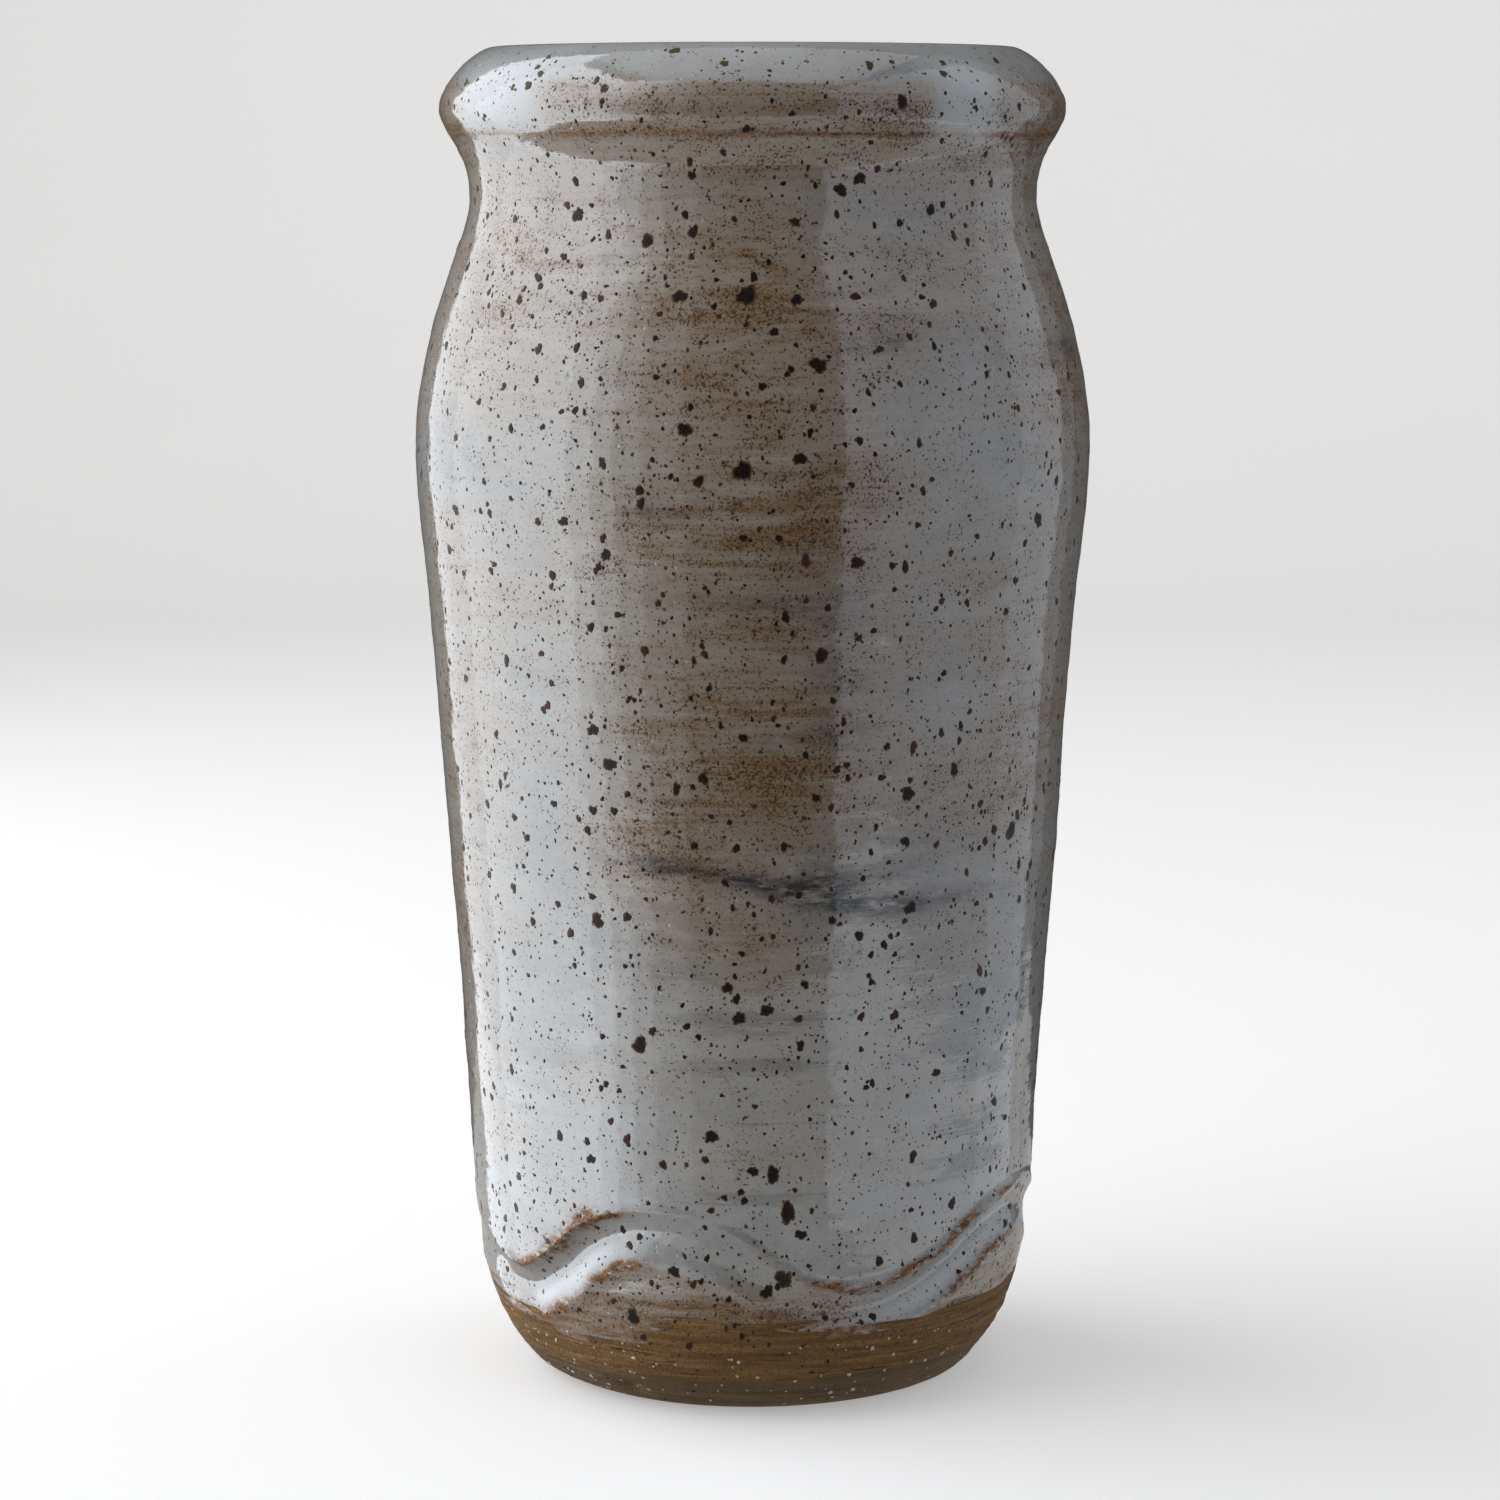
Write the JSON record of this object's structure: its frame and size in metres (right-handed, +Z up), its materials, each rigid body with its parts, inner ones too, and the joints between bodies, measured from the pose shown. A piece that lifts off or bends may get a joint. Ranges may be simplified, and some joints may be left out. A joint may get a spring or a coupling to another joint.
{
  "type": "ceramic vase",
  "caption": "Small wheel-thrown stoneware vase with a rolled lip, a full shoulder and a wavy finger groove round its heel.",
  "frame": {"origin": "centre of the foot's contact ring, on the plane the vase stands on", "axes": "+Z up the vase's axis, -Y towards the front, +X to the right seen from the front"},
  "size_m": [0.0886, 0.0887, 0.175],
  "materials": {
    "stoneware": "bare fired clay, matte",
    "glaze": "semi-gloss speckled off-white",
    "iron": "semi-gloss melted iron, near black"
  },
  "bodies": {
    "root": {"stoneware_body": "stoneware", "outer_glaze": "glaze", "liner_glaze": "glaze", "iron_spots": "iron"}
  },
  "joints": []
}
